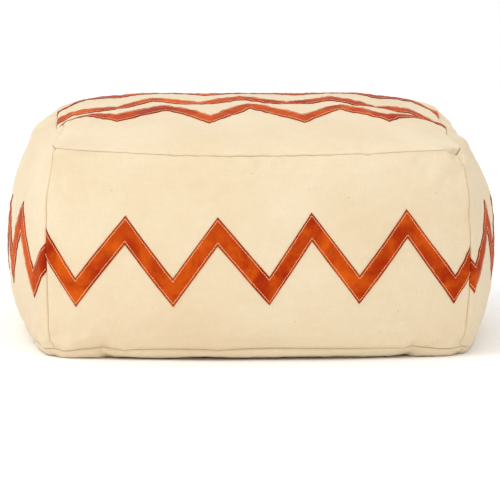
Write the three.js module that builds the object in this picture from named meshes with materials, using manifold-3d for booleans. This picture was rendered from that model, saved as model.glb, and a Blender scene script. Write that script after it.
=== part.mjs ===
// A square Moroccan floor pouf: a canvas cover of seven sewn panels with leather zigzags stitched on,
// a zip under it, and inside it a muslin bag packed with cotton. Millimetres, +Z up, the front towards -Y.
// The origin is on the floor under the pouf's middle.
import * as THREE from "three";
import { mergeGeometries, mergeVertices } from "three/addons/utils/BufferGeometryUtils.js";
import Module from "manifold-3d";

const wasm = await Module();
wasm.setup();

// ---- Driving dimensions --------------------------------------------------------------------------

const SEAM_SPAN = 572; // between opposite upright seams, at the corners
const TOP_SEAM = 284; // height of the seam round the top panel
const CORNER_LIFT = 15; // the bottom corners stand this far off the floor
const EDGE_LIFT = 8; // and the middle of each bottom seam this far
const CROWN = 48; // rise of the top panel above its seam
const TOP_SQUARENESS = 3; // the top panel falls later, and then faster, towards its seams the higher this is
const WALL_SQUARENESS = 2.4; // and the walls do
const TOP_BOW = 28; // how far the middle of a top seam stands out of the line between its corners
const BOTTOM_BOW = 36; // the same for a bottom seam
const UPRIGHT_BOW = 4; // the same for an upright seam
const BULGE = 28; // what a wall panel stands out further than its seams
const SAG = 0.16; // the walls are fullest this far below their middle, as a share of half their height
const FLAT_SHARE = 0.8; // the share of the underside's span that lies on the floor
const CANVAS = 1.5; // cloth thickness
const SEAM_GAP = 0.25; // each panel stops this short of the seam line

const ZIGZAG_PITCH = 129; // from one point of a zigzag to the next one on the same side
const ZIGZAG_RISE = 82; // between the band's middle at an upper point and at a lower one
const BAND_HEIGHT = 43; // of the leather band, measured straight up
const LEATHER = 1.4; // leather thickness
const LEATHER_GAP = 0.6; // between the leather and the canvas under it
const ZIGZAG_HEIGHT = 140; // of the middle of a wall's zigzag above the floor
const TOP_ROW_PITCH = 148; // between the three zigzags on the top panel
const TOP_POINT = 64; // where a lower point of them is

const ZIP_LENGTH = 400; // of the closed chain
const ZIP_OPENING = 456; // length of the gap between the two bottom panels
const ZIP_GAP = 6.2; // half the width of that gap
const ZIP_RISE = 6; // the panels' edges turn up this far off the floor at the zip
const TURN_UP = 22; // over this width
const SEAM_VALLEY = 2; // how far they turn up past the zip's ends, where they are sewn together
const TAPE = { thick: 0.6, inner: 0.8, outer: 16, under: 7.8, spare: 24 };
const COIL = { inner: 0.7, outer: 3.4, low: 5.2, high: 7.5 };
const STOP = { length: 3.5, outer: 3.8, low: 5.0 };
const END_CLEARANCE = 0.3; // between the slider and the stop that it rests against
const SLIDER = { length: 12, half: 4.6, low: 3.0, high: 4.7, flange: 0.8, flangeTop: 7.2, web: 0.35 };
const SLIDER_BACK = { low: 8.8, high: 10.0 };
const LOOP = { half: 3.6, post: 1.2, width: 2.2, low: 0.6, high: 1.3 };
const PULL = { pin: 0.5, height: 2.1, arm: 5.5, inner: 1.7, half: 3.5, length: 30, corner: 2 };

const LINER = { inset: 5, floor: 14 }; // the muslin bag's outside
const MUSLIN = 1.2; // its thickness
const MOUTH = { length: 240, width: 14 }; // the slit in it that it is filled through
const STUFFING = { inset: 9, floor: 18 };

const HALF = SEAM_SPAN / 2;

// ---- Materials -----------------------------------------------------------------------------------

const finish = (color, roughness, metalness = 0) =>
  new THREE.MeshStandardMaterial({ color, roughness, metalness });
const canvas = finish(0xf0dfbe, 0.9);
const leather = finish(0xc4501c, 0.45);
const muslin = finish(0xece6d6, 0.95);
const cotton = finish(0xf4f1ea, 1.0);
const tapeCloth = finish(0xd9c7a0, 0.9);
const nylon = finish(0xd2bd92, 0.5);
const brass = finish(0xa88545, 0.35, 1.0);

// ---- The shape of the stuffed pouf ---------------------------------------------------------------

const mix = (a, b, t) => a + (b - a) * t;
const smooth = (t) => THREE.MathUtils.smoothstep(t, 0, 1);
const steps = (from, to, count) =>
  Array.from({ length: count + 1 }, (_, i) => mix(from, to, i / count));

// Stations along every seam, where the panels on both sides of it bend, closer together towards its ends.
const last = 1 - SEAM_GAP / HALF;
const STATIONS = steps(-1, 1, 12).map((t) => last * Math.sin((t * Math.PI) / 2));

const BENDS = [-1, ...STATIONS, 1];

// A function of the way along a seam, run straight from each bend to the next.
const onChords = (f) => (t) => {
  const next = Math.max(1, BENDS.findIndex((s) => s >= t));
  const [a, b] = [BENDS[next - 1], BENDS[next]];
  return mix(f(a), f(b), (t - a) / (b - a));
};

// How full a panel is across one of its directions: 0 on its seams, at t = -1 and 1, and 1 in the middle.
const dome = (t, squareness) => Math.max(0, 1 - Math.abs(t) ** squareness) ** 0.75;
// How far out along its length a seam has bowed, from 0 at its ends to 1.
const bow = onChords((t) => Math.max(0, 1 - t * t) ** 0.75);
// 1 where the underside lies flat, and 0 on its seams.
const lying = (t) => smooth((1 - Math.abs(t)) / (1 - FLAT_SHARE));

// The cover's outside. A layer under it lies inset further in and has a floor of its own.
const OUTSIDE = { inset: 0, floor: 0 };

const under = (layer) => Math.max(layer.inset, layer.floor);
const towardsCorner = onChords((t) => t * t);
// How far off the floor the bottom seam is at (u, v), one of which is 1 or -1 on it.
const seamLift = (u, v) => mix(EDGE_LIFT, CORNER_LIFT, towardsCorner(u) * towardsCorner(v));

// A point of the wall that faces -Y, at u along it and v up it, both from -1 to 1.
function wallPoint(u, v, layer) {
  const corner = HALF - layer.inset + UPRIGHT_BOW * (1 - v * v);
  const up = (v + 1) / 2;
  const fullness = dome(u, WALL_SQUARENESS) * dome(v + SAG * (1 - v * v), WALL_SQUARENESS);
  const swelling = BULGE * fullness;
  const out = corner + mix(BOTTOM_BOW, TOP_BOW, up) * bow(u) + swelling;
  return new THREE.Vector3(
    corner * u,
    -out,
    mix(seamLift(u, 1) + under(layer), TOP_SEAM - layer.inset, up),
  );
}

// A point of the top panel, with u along X and v along Y.
function topPoint(u, v, layer) {
  const half = HALF - layer.inset;
  return new THREE.Vector3(
    u * (half + TOP_BOW * bow(v)),
    v * (half + TOP_BOW * bow(u)),
    TOP_SEAM - layer.inset + CROWN * dome(u, TOP_SQUARENESS) * dome(v, TOP_SQUARENESS),
  );
}

// A point of the underside, which lies flat inside a rim that lifts to the bottom seams.
function bottomPoint(u, v, layer) {
  const half = HALF - layer.inset;
  return new THREE.Vector3(
    u * (half + BOTTOM_BOW * bow(v)),
    v * (half + BOTTOM_BOW * bow(u)),
    under(layer) + seamLift(u, v) * (1 - lying(u) * lying(v)),
  );
}

// ---- Closed bodies from sheets of points ---------------------------------------------------------

// The two triangles of every cell of a sheet that holds count points along and rows of them.
function cells(columns, rows, first = 0, reversed = false) {
  const index = [];
  for (let j = 0; j + 1 < rows; j++)
    for (let i = 0; i + 1 < columns; i++) {
      const a = first + j * columns + i;
      const [b, c, d] = [a + 1, a + columns + 1, a + columns];
      index.push(...(reversed ? [a, c, b, a, d, c] : [a, b, c, a, c, d]));
    }
  return index;
}

function geometryOf(points, index) {
  const made = new THREE.BufferGeometry().setFromPoints(points);
  made.setIndex(index);
  return made;
}

// Turns a closed geometry the right way out, if its faces point inwards.
function facingOut(geometry) {
  const at = geometry.attributes.position;
  const index = geometry.index.array;
  const [a, b, c] = [0, 1, 2].map(() => new THREE.Vector3());
  let volume = 0;
  for (let i = 0; i < index.length; i += 3) {
    [a, b, c].forEach((p, k) => p.fromBufferAttribute(at, index[i + k]));
    volume += a.dot(b.cross(c));
  }
  if (volume < 0) index.reverse();
  geometry.computeVertexNormals();
  return geometry;
}

// A closed plate between two sheets of the same columns and rows, with a rim all round.
function plate(columns, rows, outer, inner) {
  const sheet = (point) => rows.flatMap((r) => columns.map((c) => point(c, r)));
  const [n, m] = [columns.length, rows.length];
  const back = n * m;
  const index = [...cells(n, m), ...cells(n, m, back, true)];
  const edge = [
    ...steps(0, n - 1, n - 1),
    ...steps(1, m - 1, m - 2).map((j) => j * n + n - 1),
    ...steps(n - 2, 0, n - 2).map((i) => (m - 1) * n + i),
    ...steps(m - 2, 1, m - 3).map((j) => j * n),
  ];
  edge.forEach((a, k) => {
    const b = edge[(k + 1) % edge.length];
    index.push(b, a, a + back, b, a + back, b + back);
  });
  return facingOut(geometryOf([...sheet(outer), ...sheet(inner)], index));
}

// A closed geometry as a solid for manifold-3d, and such a solid as a geometry again.
function solidOf(geometry) {
  const bare = new THREE.BufferGeometry();
  bare.setAttribute("position", geometry.attributes.position);
  bare.setIndex(geometry.index);
  const merged = mergeVertices(bare, 1e-3);
  return new wasm.Manifold(
    new wasm.Mesh({
      numProp: 3,
      vertProperties: merged.attributes.position.array,
      triVerts: new Uint32Array(merged.index.array),
    }),
  );
}

function geometryFrom(solid) {
  const mesh = solid.getMesh();
  const made = new THREE.BufferGeometry();
  made.setAttribute("position", new THREE.BufferAttribute(mesh.vertProperties, 3));
  made.setIndex(new THREE.BufferAttribute(mesh.triVerts, 1));
  made.computeVertexNormals();
  return made;
}

const box = (x, y, z) =>
  new THREE.BoxGeometry(x[1] - x[0], y[1] - y[0], z[1] - z[0]).translate(
    (x[0] + x[1]) / 2,
    (y[0] + y[1]) / 2,
    (z[0] + z[1]) / 2,
  );

const joined = (...geometries) =>
  geometryFrom(geometries.map(solidOf).reduce((whole, next) => whole.add(next)));

// ---- The scene -----------------------------------------------------------------------------------

const pouf = new THREE.Group();

function add(name, geometry, material, quarterTurns = 0, parent = pouf) {
  const mesh = new THREE.Mesh(geometry, material);
  mesh.name = name;
  mesh.rotation.z = (quarterTurns * Math.PI) / 2;
  parent.add(mesh);
  return mesh;
}

// ---- Canvas panels -------------------------------------------------------------------------------

const CLOTH_INSIDE = { inset: CANVAS, floor: CANVAS };
const WALL_ROWS = steps(-1, 1, 8).map((t) => last * Math.sin((t * Math.PI) / 2));

// The walls, and where along each the lower point nearest its middle is.
const WALLS = [
  { side: "front", quarterTurns: 0, point: 10 },
  { side: "right", quarterTurns: 1, point: -25 },
  { side: "back", quarterTurns: 2, point: 10 },
  { side: "left", quarterTurns: 3, point: 0 },
];

for (const { side, quarterTurns } of WALLS)
  add(
    `${side}_panel`,
    plate(
      STATIONS,
      WALL_ROWS,
      (u, v) => wallPoint(u, v, OUTSIDE),
      (u, v) => wallPoint(u, v, CLOTH_INSIDE),
    ),
    canvas,
    quarterTurns,
  );

add(
  "top_panel",
  plate(
    STATIONS,
    STATIONS,
    (u, v) => topPoint(u, v, OUTSIDE),
    (u, v) => topPoint(u, v, CLOTH_INSIDE),
  ),
  canvas,
);

// The share of the full turn-up at a distance along the middle seam from the pouf's centre line.
const zipEnd = (x) => smooth((Math.abs(x) - ZIP_OPENING / 2) / 10);

// The front half of the underside: t runs from the bottom seam, at 0, to the turned-up zip edge, at 1.
function underPoint(u, y, layer) {
  const edge = mix(ZIP_GAP, SEAM_GAP, zipEnd(u * HALF));
  const stop = Math.max(y, edge);
  const point = bottomPoint(u, -stop / HALF, layer);
  const turned = smooth(1 - (stop - edge) / TURN_UP) * smooth((1 - Math.abs(u)) / 0.1);
  point.z += mix(ZIP_RISE, SEAM_VALLEY, zipEnd(u * HALF)) * turned;
  point.y = stop < TURN_UP * 2 ? -stop : point.y;
  return point;
}

const rightOf = STATIONS.slice(6);
const openingEnd = ZIP_OPENING / 2 / HALF;
const zipColumns = [...rightOf.slice(0, 4), openingEnd, openingEnd + 0.035, ...rightOf.slice(4)];
const underColumns = [...zipColumns.slice(1).map((u) => -u).reverse(), ...zipColumns];
const underRows = [0, 10, 14, 18, 24, 30, ...rightOf.slice(1).map((v) => v * HALF)];

["front", "back"].forEach((side, k) =>
  add(
    `bottom_${side}_panel`,
    plate(
      underColumns,
      underRows,
      (u, y) => underPoint(u, y, OUTSIDE),
      (u, y) => underPoint(u, y, CLOTH_INSIDE),
    ),
    canvas,
    2 * k,
  ),
);

// ---- Leather zigzags -----------------------------------------------------------------------------

// The height of the band's middle over the zigzag's own line, s along it, with a lower point at `point`.
function zigzag(s, point) {
  const phase = THREE.MathUtils.euclideanModulo((s - point) / ZIGZAG_PITCH, 1);
  return ZIGZAG_RISE * (0.5 - Math.abs(phase - 0.5)) * 2 - ZIGZAG_RISE / 2;
}

// Stations along a zigzag: its points, two more on each leg, and the columns of the panel under it,
// so that the leather bends where the canvas does.
function zigzagStations(point) {
  const end = last * HALF;
  const spacing = ZIGZAG_PITCH / 6;
  const stations = [-end, end];
  const first = point - Math.floor((point + end - 2) / spacing) * spacing;
  for (let s = first; s < end - 2; s += spacing) stations.push(s);
  for (const u of STATIONS)
    if (stations.every((s) => Math.abs(s - u * HALF) > 1.5)) stations.push(u * HALF);
  return stations.sort((a, b) => a - b);
}

// A zigzag plate on a panel. at(u, v, layer) is the panel's surface, and centre is where the zigzag's
// line runs.
function zigzagPlate(at, point, centre, toShare) {
  const skin = (lift) => (s, h) =>
    at(s / HALF, toShare(centre + zigzag(s, point) + h), { inset: -lift, floor: -lift });
  return plate(
    zigzagStations(point),
    steps(-BAND_HEIGHT / 2, BAND_HEIGHT / 2, 3),
    skin(LEATHER_GAP + LEATHER),
    skin(LEATHER_GAP),
  );
}

const MID_HEIGHT = (TOP_SEAM + EDGE_LIFT) / 2;
const HALF_HEIGHT = (TOP_SEAM - EDGE_LIFT) / 2;

for (const { side, quarterTurns, point } of WALLS)
  add(
    `${side}_zigzag`,
    zigzagPlate(wallPoint, point, ZIGZAG_HEIGHT, (z) => (z - MID_HEIGHT) / HALF_HEIGHT),
    leather,
    quarterTurns,
  );

["front", "middle", "back"].forEach((row, k) =>
  add(
    `top_${row}_zigzag`,
    zigzagPlate(topPoint, TOP_POINT, (k - 1) * TOP_ROW_PITCH, (y) => y / HALF),
    leather,
  ),
);

// ---- Zip: its underside faces the floor, and it opens towards -X ---------------------------------

const HALF_ZIP = ZIP_LENGTH / 2;

for (const [side, quarterTurns] of [
  ["front", 0],
  ["back", 2],
]) {
  const tapeEnd = HALF_ZIP + TAPE.spare;
  add(
    `zip_tape_${side}`,
    box([-tapeEnd, tapeEnd], [-TAPE.outer, -TAPE.inner], [TAPE.under, TAPE.under + TAPE.thick]),
    tapeCloth,
    quarterTurns,
  );
  add(
    `zip_coil_${side}`,
    box([-HALF_ZIP, HALF_ZIP], [-COIL.outer, -COIL.inner], [COIL.low, COIL.high]),
    nylon,
    quarterTurns,
  );
}

// A stop is a clip round the coils, just past their ends.
const stopX = [HALF_ZIP + 0.5, HALF_ZIP + 0.5 + STOP.length];
const stopZ = [STOP.low, COIL.high];
add("zip_top_stop_front", box(stopX, [-STOP.outer, -COIL.inner], stopZ), brass);
add("zip_top_stop_back", box(stopX, [COIL.inner, STOP.outer], stopZ), brass);
add("zip_bottom_stop", box([-stopX[1], -stopX[0]], [-STOP.outer, STOP.outer], stopZ), brass);

// The slider at the closed end. Two plates, joined by a web between the coils, the lower one with a
// flange up each side and a loop under it that holds the pull.
const sliderEnd = stopX[0] - END_CLEARANCE;
const SLIDER_X = sliderEnd - SLIDER.length / 2;
const sliderX = [sliderEnd - SLIDER.length, sliderEnd];
const { half: plateHalf, flange, web } = SLIDER;
const loopX = (sign) => [
  SLIDER_X + sign * (LOOP.half - LOOP.post / 2) - LOOP.post / 2,
  SLIDER_X + sign * (LOOP.half - LOOP.post / 2) + LOOP.post / 2,
];
add(
  "zip_slider",
  joined(
    box(sliderX, [-plateHalf, plateHalf], [SLIDER.low, SLIDER.high]),
    box(sliderX, [-plateHalf, -plateHalf + flange], [SLIDER.low, SLIDER.flangeTop]),
    box(sliderX, [plateHalf - flange, plateHalf], [SLIDER.low, SLIDER.flangeTop]),
    box([SLIDER_X - 2.5, SLIDER_X + 2.5], [-web, web], [SLIDER.low, SLIDER_BACK.high]),
    box(sliderX, [-plateHalf, plateHalf], [SLIDER_BACK.low, SLIDER_BACK.high]),
    box(loopX(-1), [-LOOP.width / 2, LOOP.width / 2], [LOOP.low, SLIDER.high]),
    box(loopX(1), [-LOOP.width / 2, LOOP.width / 2], [LOOP.low, SLIDER.high]),
    box([loopX(-1)[0], loopX(1)[1]], [-LOOP.width / 2, LOOP.width / 2], [LOOP.low, LOOP.high]),
  ),
  brass,
);

// The pull, a flat tab that lies pointing -X: two arms hold a pin that passes through the slider's loop.
const tab = new THREE.Shape();
tab.moveTo(PULL.pin, PULL.inner);
tab.lineTo(PULL.pin, PULL.half);
tab.lineTo(-PULL.length + PULL.corner, PULL.half);
tab.lineTo(-PULL.length, PULL.half - PULL.corner);
tab.lineTo(-PULL.length, -PULL.half + PULL.corner);
tab.lineTo(-PULL.length + PULL.corner, -PULL.half);
tab.lineTo(PULL.pin, -PULL.half);
tab.lineTo(PULL.pin, -PULL.inner);
tab.lineTo(-PULL.arm, -PULL.inner);
tab.lineTo(-PULL.arm, PULL.inner);
const tabBody = new THREE.ExtrudeGeometry(tab, { depth: 2 * PULL.pin, bevelEnabled: false });
tabBody.translate(0, 0, -PULL.pin);
const pin = new THREE.CylinderGeometry(PULL.pin * 0.9, PULL.pin * 0.9, 2 * PULL.inner + 0.6, 12);
add("zip_pull", joined(tabBody, pin).translate(SLIDER_X, 0, PULL.height), brass);

// ---- Inner bag and stuffing ----------------------------------------------------------------------

// A closed bag in the shape of the stuffed pouf.
function bag(layer, count) {
  const grid = steps(-1, 1, count).map((t) => Math.sin((t * Math.PI) / 2));
  const face = (at, reversed = false) =>
    geometryOf(
      grid.flatMap((v) => grid.map((u) => at(u, v, layer))),
      cells(grid.length, grid.length, 0, reversed),
    );
  const walls = [0, 1, 2, 3].map((k) => face(wallPoint).rotateZ((k * Math.PI) / 2));
  const whole = mergeGeometries([...walls, face(topPoint), face(bottomPoint, true)]);
  return facingOut(mergeVertices(whole, 1e-2));
}

const thicker = { inset: LINER.inset + MUSLIN, floor: LINER.floor + MUSLIN };
const mouth = box(
  [-MOUTH.length / 2, MOUTH.length / 2],
  [-MOUTH.width / 2, MOUTH.width / 2],
  [LINER.floor - 2, thicker.floor + 2],
);
const linerShell = solidOf(bag(LINER, 8)).subtract(solidOf(bag(thicker, 8))).subtract(solidOf(mouth));
add("liner_bag", geometryFrom(linerShell), muslin);
add("stuffing", bag(STUFFING, 8), cotton);

export default pouf;
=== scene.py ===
"""A square Moroccan floor pouf: a stuffed canvas cover with leather zigzags stitched on, and a zip under it.

Lengths are millimetres until a mesh is made, and +Z is up. A cloth simulation settles the cover once, as a
lattice of points on each of its six sides. Every panel, band, stitch and inner layer is then placed on that
shape by its pattern coordinates: x along the flat panel and y up it, both from the panel's middle.
"""

import math

import bmesh
import bpy
import numpy as np
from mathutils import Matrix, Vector


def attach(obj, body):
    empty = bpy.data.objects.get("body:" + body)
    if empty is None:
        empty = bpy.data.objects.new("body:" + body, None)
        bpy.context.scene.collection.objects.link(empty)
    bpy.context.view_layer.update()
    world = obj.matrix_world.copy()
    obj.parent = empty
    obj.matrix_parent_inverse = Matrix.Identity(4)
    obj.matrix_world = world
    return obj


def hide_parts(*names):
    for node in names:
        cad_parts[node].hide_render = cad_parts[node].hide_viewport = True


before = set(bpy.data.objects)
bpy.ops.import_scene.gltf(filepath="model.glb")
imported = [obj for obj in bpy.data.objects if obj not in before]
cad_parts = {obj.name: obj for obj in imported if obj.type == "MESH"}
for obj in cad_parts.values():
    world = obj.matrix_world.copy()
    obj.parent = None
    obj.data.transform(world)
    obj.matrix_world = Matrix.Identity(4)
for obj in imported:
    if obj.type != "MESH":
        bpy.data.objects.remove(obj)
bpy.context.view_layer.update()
MM = 0.001

# ---- Driving dimensions ----

PANEL = 604.0  # width of a wall, and of the top and the underside both ways, flat between seams
WALL = 300.0  # height of a wall, flat between seams

SEAM_SPAN = 572.0  # between opposite upright seams, stuffed
TOP_CORNER = 290.0  # height of the top panel's corners
FRONT_DROP = 8.0  # of the middle of the top seam at the front and back
SIDE_RISE = 2.0  # of its middle on the left and right
CORNER_LIFT = 9.0  # of the bottom corners off the floor
EDGE_LIFT = 16.0  # of the middle of each bottom seam
CROWN = 39.0  # rise of the top above its corners
HUMP = (5.5, -95.0, 36.0)  # a ridge across the top, under the first zigzag: its height, place and width
VALLEY = (-5.5, -32.0, 30.0)  # and the dip behind it
SHOULDER = (17.0, -150.0, 65.0)  # the ridge lifts the seams at its ends
SHOULDER_IN = 13.0  # and pulls them in
TOP_BOW = 28.0  # what the middle of the front top seam stands out of the line between its corners
ROLL = 28.0  # the left wall rolls in over its top this far, so that its top seam doesn't stand out
RIGHT_ROLL = 0.65  # and the right one this share of it
ROLL_FROM = 0.88  # above this height, from -1 at the bottom seam to 1 at the top one
BOTTOM_BOW = 36.0  # the same as TOP_BOW for a bottom seam
UPRIGHT_BOW = 4.0  # and for an upright one
BULGE = 25.5  # what a wall stands out further than its seams
SAG = 0.16  # the walls are fullest this far below their middle, as a share of half their height
FLAT_SHARE = 0.955  # the share of the underside's span that lies on the floor
HALF = SEAM_SPAN / 2

COLUMNS = 76  # lattice cells along a panel
ROWS = 38  # and up a wall

SEAM_ROUND = 3.0  # a panel starts to turn in this far from its seam
SEAM_TURN = 3.0  # and is fully turned in this far below it
ALLOWANCE = 12.0  # of cloth inside the seam
SEAM_HALF_GAP = 0.2  # from each panel to the seam's middle
CANVAS = 1.1  # cloth thickness
YARN = 0.9  # pitch of the canvas weave

BAND = 43.0  # of a leather band, measured up the panel
RISE = 82.0  # between the band's middle at an upper point and at a lower one
LEG = 64.5  # from an upper point to the next lower one, along the panel
SLANT = math.hypot(LEG, RISE) / LEG  # a band's height over its width across the leather
STITCH_INSET = 3.2  # of the topstitching from the leather's edge
STITCH = 4.0  # length of one
THREAD = 0.4  # radius
GROOVE = 0.8  # height of the leather that the stitches lie on

ZIP_GAP = 6.2  # half the width of the gap at the zip
ZIP_RISE = 5.2  # the bottom panels' edges turn up this far there
TURN_UP = 22.0  # over this width
SEAM_VALLEY = 2.0  # and this far past the zip's ends, where they are sewn together
ZIP_OPENING = 400.0  # length of the gap along the pattern, which the stuffing stretches a little
OPENING_END = 5.0  # the gap closes over this distance
RISE_END = 30.0  # and the turned-up edges fall over this one

WALLS = ["front", "right", "back", "left"]
rng = np.random.default_rng(7)

# ---- Camera, light and floor ----

DISTANCE = 5.99  # metres from the pouf's middle
VIEW = (-2.0, 7.0)  # azimuth and elevation, in degrees
AIM = Vector((0, 0, 0.1136))
VIEW_WIDTH = 0.689  # metres across the view, at the front of the pouf
FRONT_DISTANCE = 5.7  # metres from the camera to there
FLOOR_HALF = 9.0  # metres from the pouf's middle to the floor's edges
FLOOR_GAP = 0.3  # keeps the floor from flickering through the canvas that lies on it


def link(obj):
    bpy.context.scene.collection.objects.link(obj)
    return obj


def facing(obj, place, target):
    obj.location = place
    obj.rotation_euler = (Vector(target) - Vector(place)).to_track_quat("-Z", "Y").to_euler()


def make_camera():
    azimuth, elevation = (math.radians(a) for a in VIEW)
    level = math.cos(elevation)
    away = Vector((math.sin(azimuth) * level, -math.cos(azimuth) * level, math.sin(elevation)))
    data = bpy.data.cameras.new("camera")
    data.angle = 2 * math.atan(VIEW_WIDTH / 2 / FRONT_DISTANCE)
    camera = link(bpy.data.objects.new("camera", data))
    facing(camera, AIM + away * DISTANCE, AIM)
    bpy.context.scene.camera = camera


def make_light(name, place, target, size, power, colour=(1, 1, 1)):
    data = bpy.data.lights.new(name, "AREA")
    data.size = size
    data.energy = power
    data.color = colour
    facing(link(bpy.data.objects.new(name, data)), place, target)


def make_studio():
    world = bpy.data.worlds.new("studio")
    world.use_nodes = True
    background = world.node_tree.nodes["Background"]
    background.inputs["Color"].default_value = (1, 1, 1, 1)
    background.inputs["Strength"].default_value = 1.005
    bpy.context.scene.world = world
    bpy.context.scene.view_settings.view_transform = "Standard"
    make_light("key", (-2.2, -1.6, 3.6), (0, 0, 0.15), 2.4, 55)
    make_light("low fill", (-0.6, -3.2, 0.5), (0, 0, 0.02), 1.4, 6, (1.0, 0.86, 0.64))


# ---- Small helpers ----


def mix(a, b, t):
    return a + (b - a) * t


def smooth(t):
    t = np.clip(t, 0, 1)
    return t * t * (3 - 2 * t)


def between(value, start, end):
    """0 up to the start and 1 from the end, with a smooth step between them."""
    return smooth((value - start) / (end - start))


def unit(v):
    return v / np.maximum(np.linalg.norm(v, axis=-1, keepdims=True), 1e-9)


def dot(a, b):
    return np.sum(a * b, axis=-1, keepdims=True)


def turned(points, quarter_turns):
    """Points of the front wall, turned to another wall."""
    c, s = [(1, 0), (0, 1), (-1, 0), (0, -1)][quarter_turns % 4]
    x, y, z = np.moveaxis(points, -1, 0)
    return np.stack([c * x - s * y, s * x + c * y, z], -1)


def waves(points, wavelength, count=24, seed=1):
    """Smooth noise of about unit size: a sum of plane waves in random directions."""
    own = np.random.default_rng(seed)
    total = 0
    for _ in range(count):
        direction = unit(own.normal(size=3)) * own.uniform(0.6, 1.5) * 2 * math.pi / wavelength
        total = total + np.sin(points @ direction + own.uniform(0, 2 * math.pi))
    return total * math.sqrt(2 / count)


# ---- The stuffed shape ----


def dome(t, power=2.4):
    """A stuffed panel's rise from seam to seam, for t from -1 to 1."""
    return np.maximum(0, 1 - np.abs(t) ** power) ** 0.75


def bow(t):
    """The same for a seam, which the stuffing bows."""
    return np.maximum(0, 1 - t * t) ** 0.75


def lying(t):
    """1 where the underside lies on the floor, falling steeply to 0 at its seams."""
    return 1 - (1 - np.clip((1 - np.abs(t)) / (1 - FLAT_SHARE), 0, 1)) ** 4


def seam_lift(u, v):
    """Height of the seam round the underside."""
    return mix(EDGE_LIFT, CORNER_LIFT, (u * v) ** 2)


def ridge(y, height, place, width):
    """A smooth ridge across the pouf, or a dip where its height is negative."""
    return height * np.exp(-(((y - place) / width) ** 2))


def top_seam(u, v):
    """Height of the seam round the top, and of a smooth surface inside it."""
    shoulder = ridge(v * HALF, *SHOULDER) * (1 - v**8)
    return TOP_CORNER - FRONT_DROP * (1 - u * u) * v * v + (SIDE_RISE * (1 - v * v) + shoulder) * u * u


def rolled_in(u, v):
    """How far the left and right walls have rolled in at the top, at v from front to back."""
    share = mix(1, RIGHT_ROLL, smooth((u + 1) / 2))
    return share * (ROLL * bow(v) + ridge(v * HALF, SHOULDER_IN, *SHOULDER[1:]) * (1 - v**8))


def wall_shape(u, v, way):
    """The front wall's shape, or with way 1 or -1 that of the right or left wall, turned to the front."""
    corner = HALF + UPRIGHT_BOW * (1 - v * v)
    up = (v + 1) / 2
    swelling = BULGE * dome(u) * dome(v + SAG * (1 - v * v))
    out = corner + mix(BOTTOM_BOW, TOP_BOW, up) * bow(u) + swelling
    seam = top_seam(u, 1)
    if way:
        out = out - rolled_in(way, way * u) * smooth((v - ROLL_FROM) / (1 - ROLL_FROM))
        seam = top_seam(1, way * u)
    return np.stack([corner * u, -out, mix(seam_lift(u, 1), seam, up)], -1)


def top_shape(u, v):
    x, y = u * (HALF + TOP_BOW * bow(v) - rolled_in(u, v)), v * (HALF + TOP_BOW * bow(u))
    uneven = ridge(y, *HUMP) + ridge(y, *VALLEY)
    fullness = dome(u, 3.0) * np.where(v < 0, dome(v, 3.0), dome(v, 4.0))
    return np.stack([x, y, top_seam(u, v) + CROWN * fullness + uneven * dome(u)], -1)


def bottom_shape(u, v):
    z = seam_lift(u, v) * (1 - lying(u) * lying(v))
    return np.stack([u * (HALF + BOTTOM_BOW * bow(v)), v * (HALF + BOTTOM_BOW * bow(u)), z], -1)


# How far the filling's slump moves the cover.
RIGHT_IN = 13.0  # its right side, round the top
RIGHT_DOWN = 6.0
FRONT_CORNER_SHARE = 0.3  # of that, at the front corner
CORNER_OUT = 5.0  # the right front upright seam, at half its height
LEFT_IN = 7.0  # the left side, round the top
BACK_UP = 8.0  # the back's two top corners


def slumped(points):
    """The pouf's right is slack round its top and full at its front corner, and its back stands higher."""
    x, y, z = np.moveaxis(points, -1, 0)
    high = between(z, 205, 275)
    front_share = mix(FRONT_CORNER_SHARE, 1, between(y, -290, -180))
    right = between(x, 150, 280) * high * between(-y, -290, -50) * front_share
    left = between(-x, 190, 290) * high
    back = between(y, -60, 140) * between(z, 180, 290) * between(np.abs(x), 60, 240)
    half_up = np.clip(1 - ((z - WALL / 2) / (WALL / 2)) ** 2, 0, 1)
    corner = between(x, 230, 280) * between(-y, 200, 280) * half_up
    x = x - RIGHT_IN * right + LEFT_IN * left + CORNER_OUT * corner
    return np.stack([x, y, z - RIGHT_DOWN * right + BACK_UP * back], -1)


def even(shape, columns, rows):
    """A (rows + 1, columns + 1) lattice of points on a shape, at even distances along it both ways."""

    def shares(points, count):
        steps = np.linalg.norm(np.diff(points, axis=1), axis=-1)
        run = np.concatenate([np.zeros((len(points), 1)), np.cumsum(steps, 1)], 1)
        wanted = np.linspace(0, 1, count + 1)
        ends = np.linspace(-1, 1, points.shape[1])
        return np.array([np.interp(wanted * r[-1], r, ends) for r in run])

    fine = np.linspace(-1, 1, 401)
    v = np.linspace(-1, 1, 201)
    u = shares(shape(*np.broadcast_arrays(fine[None, :], v[:, None])), columns)
    points = shape(u, v[:, None] + 0 * u)
    v_at = shares(np.swapaxes(points, 0, 1), rows).T
    u_at = np.stack([np.interp(v_at[:, i], v, u[:, i]) for i in range(columns + 1)], 1)
    return slumped(shape(u_at, v_at))


def stuffed_cover():
    """A lattice of points for each side of the cover."""
    sides = {}
    for k, (name, way) in enumerate(zip(WALLS, (0, 1, 0, -1))):
        sides[name] = even(lambda u, v, k=k, way=way: turned(wall_shape(u, v, way), k), COLUMNS, ROWS)
    sides["top"] = even(top_shape, COLUMNS, COLUMNS)
    sides["bottom"] = even(bottom_shape, COLUMNS, COLUMNS)
    return sides


# ---- The cover as one sewn cloth ----


def box_corner(name, i, j):
    """Where a lattice point of a side would be on a box, so that points on a seam are found to be one."""
    if name in ("top", "bottom"):
        return (i, j, ROWS if name == "top" else 0)
    return [(i, 0, j), (COLUMNS, i, j), (COLUMNS - i, COLUMNS, j), (0, COLUMNS - i, j)][WALLS.index(name)]


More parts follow.
